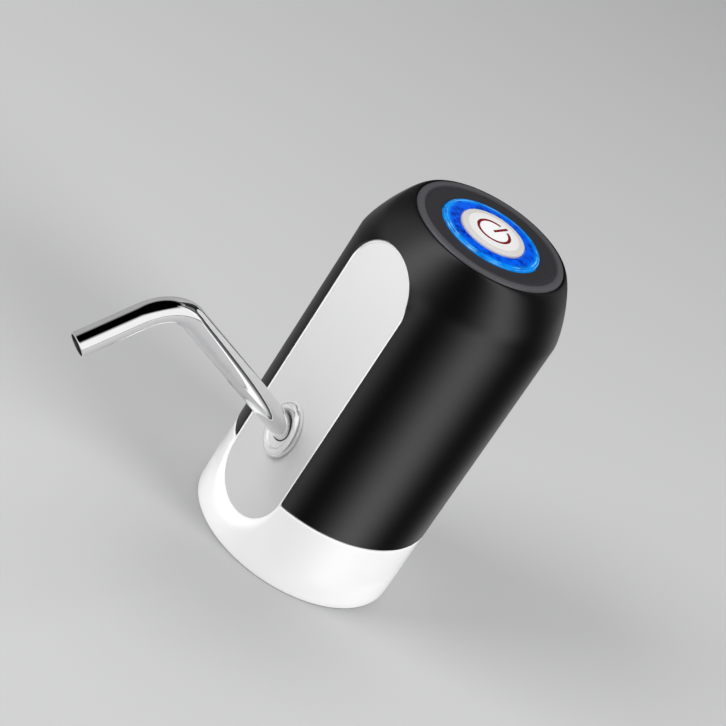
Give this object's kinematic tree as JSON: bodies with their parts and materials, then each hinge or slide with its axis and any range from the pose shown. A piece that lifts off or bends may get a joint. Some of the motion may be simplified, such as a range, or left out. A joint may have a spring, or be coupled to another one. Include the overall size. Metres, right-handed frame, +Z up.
{
  "type": "bottled water pump",
  "caption": "Rechargeable water dispenser pump that grips a large bottle's neck, with a lit push button on top and a swivelling steel spout at the front.",
  "frame": {"origin": "middle of the object's bounding box, spout included, on the plane that the base stands on", "axes": "+Z up along the body's axis, -Y forwards along the spout, +X to the pump's left side"},
  "size_m": [0.072, 0.1676, 0.131],
  "materials": {
    "white_gloss": "glossy white moulded plastic",
    "black_gloss": "glossy black moulded plastic",
    "dark_grey": "satin dark grey plastic",
    "panel_grey": "smooth light grey plastic",
    "blue_lens": "clear plastic lit deep blue",
    "red_inlay": "dark red plastic",
    "polished_steel": "mirror polished stainless steel",
    "plain_steel": "plain steel",
    "silicone": "grey food-grade silicone",
    "black_rubber": "black rubber",
    "natural_plastic": "uncoloured moulded plastic",
    "black_plastic": "black moulded plastic",
    "circuit_board": "green solder mask",
    "led_white": "white packages",
    "brass": "turned brass",
    "copper": "copper",
    "ferrite": "sintered ferrite",
    "cell_wrap": "shrink-wrapped steel can",
    "wire_insulation": "soft insulation"
  },
  "bodies": {
    "pump": {"base_housing": "white_gloss", "battery_cell": "cell_wrap", "board_screw_1": "plain_steel", "board_screw_2": "plain_steel", "bottle_seal": "silicone", "brush_strip_left": "copper", "brush_strip_right": "copper", "case_screw_1": "plain_steel", "case_screw_2": "plain_steel", "case_screw_3": "plain_steel", "cell_lead": "wire_insulation", "charge_board": "circuit_board", "charge_lead": "wire_insulation", "chassis": "natural_plastic", "check_valve": "black_rubber", "contact_negative": "plain_steel", "contact_positive": "plain_steel", "control_board": "circuit_board", "diaphragm": "black_rubber", "front_panel": "panel_grey", "inlet_hose": "silicone", "inlet_nipple": "natural_plastic", "led_strip": "led_white", "light_ring": "blue_lens", "motor_bearing_1": "brass", "motor_bearing_2": "brass", "motor_can": "plain_steel", "motor_end_cap": "black_plastic", "motor_lead": "wire_insulation", "motor_magnet": "ferrite", "motor_strap": "plain_steel", "nipple_gasket": "silicone", "nipple_nut": "natural_plastic", "outlet_hose": "silicone", "outlet_socket": "natural_plastic", "pump_frame": "natural_plastic", "pump_head": "natural_plastic", "pump_screw_1": "plain_steel", "pump_screw_2": "plain_steel", "pump_screw_3": "plain_steel", "spout_collar": "polished_steel", "strap_screw": "plain_steel", "tact_switch": "black_plastic", "top_bezel": "dark_grey", "upper_shell": "black_gloss", "usb_socket": "plain_steel", "usb_tongue": "black_plastic", "valve_plate": "natural_plastic"},
    "button": {"power_button": "white_gloss", "power_symbol": "red_inlay", "switch_plunger": "black_rubber"},
    "spout_sleeve": {"swivel_sleeve": "silicone"},
    "spout": {"spout_tube": "polished_steel"},
    "rotor": {"motor_shaft": "plain_steel", "armature": "plain_steel", "rotor_winding": "copper", "commutator": "copper", "drive_hub": "brass", "crank_pin": "plain_steel"},
    "wobbler": {"wobble_plate": "natural_plastic"}
  },
  "joints": [
    {"name": "button_press", "type": "slide", "parent": "pump", "child": "button", "axis": [0, 0, -1], "range_m": [0, 0.0008], "stiffness_N_per_m": 800, "springref_m": -0.0015},
    {"name": "spout_swivel", "type": "hinge", "parent": "pump", "child": "spout_sleeve", "pos_m": [0, 0.01587, 0.04484], "axis": [0, -0.8251, 0.565], "continuous": true},
    {"name": "spout_pull", "type": "slide", "parent": "spout_sleeve", "child": "spout", "axis": [0, -0.8251, 0.565], "range_m": [0, 0.022]},
    {"name": "motor_spin", "type": "hinge", "parent": "pump", "child": "rotor", "pos_m": [-0.009, 0.05307, 0.09], "axis": [0, 0, 1], "continuous": true},
    {"name": "wobble_spin", "type": "hinge", "parent": "rotor", "child": "wobbler", "pos_m": [-0.009, 0.05307, 0.0665], "axis": [0.1219, 0, 0.9925], "continuous": true, "deforming": ["diaphragm"]}
  ],
  "couplings": [
    {"joint": "wobble_spin", "follows": "motor_spin", "ratio": -1}
  ]
}
